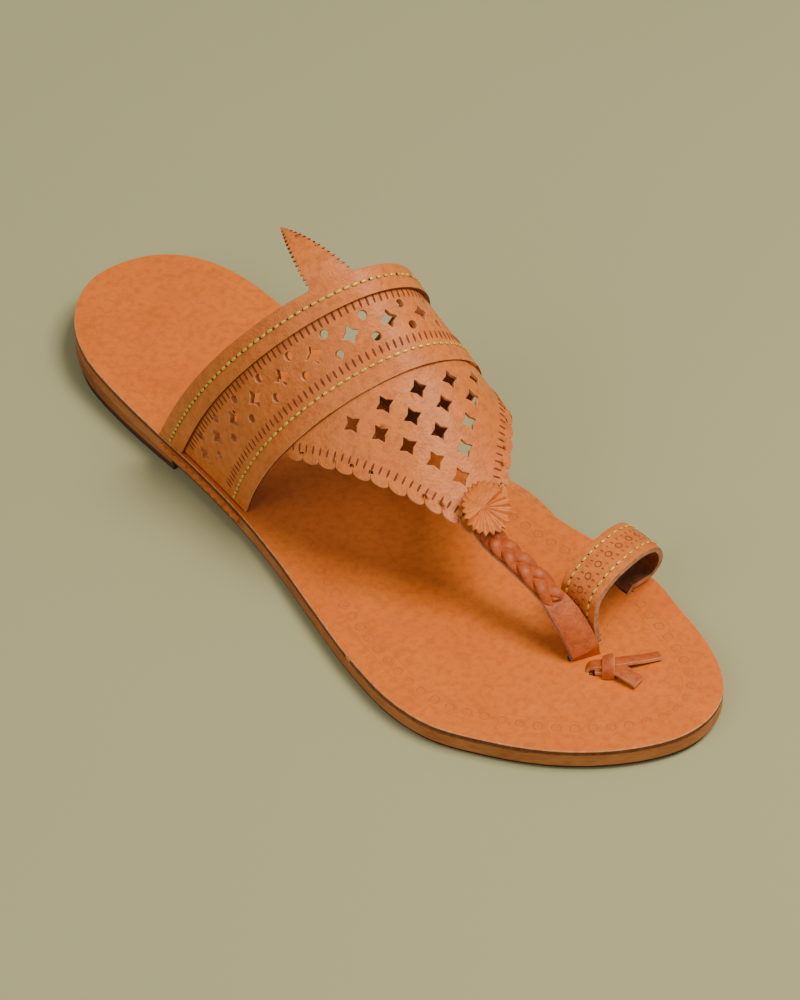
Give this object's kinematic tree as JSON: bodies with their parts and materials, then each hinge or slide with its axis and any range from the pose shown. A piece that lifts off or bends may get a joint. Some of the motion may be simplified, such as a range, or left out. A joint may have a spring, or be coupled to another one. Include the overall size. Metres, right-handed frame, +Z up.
{
  "type": "kolhapuri sandal",
  "caption": "Flat leather toe-ring sandal with a wide pierced instep band, scalloped triangular flap, plaited toe strap and low stacked heel.",
  "frame": {"origin": "centre of the box round the sandal, on the floor under the sole", "axes": "+Z up, -Y towards the toe, +Y towards the heel, +X towards the inner (big toe) side of a right shoe"},
  "size_m": [0.0877, 0.255, 0.0887],
  "materials": {
    "insole": "smooth tan leather",
    "outsole": "tan sole leather, cut edge",
    "tread": "dark sole leather",
    "heel_stack": "tan sole leather, cut edge",
    "heel_lift": "dark brown sole leather",
    "upper": "grained tan leather",
    "side_tab": "tan leather",
    "rear_binding": "grained tan leather",
    "toe_strap": "plaited tan leather",
    "rosette": "pleated tan leather",
    "toe_ring": "grained tan leather",
    "knot": "tan leather thong"
  },
  "bodies": {
    "root": {"insole": "insole", "outsole": "outsole", "tread": "tread", "heel_stack": "heel_stack", "heel_lift": "heel_lift", "upper": "upper", "side_tab": "side_tab", "rear_binding": "rear_binding", "toe_strap": "toe_strap", "rosette": "rosette", "toe_ring": "toe_ring", "knot": "knot"}
  },
  "joints": []
}
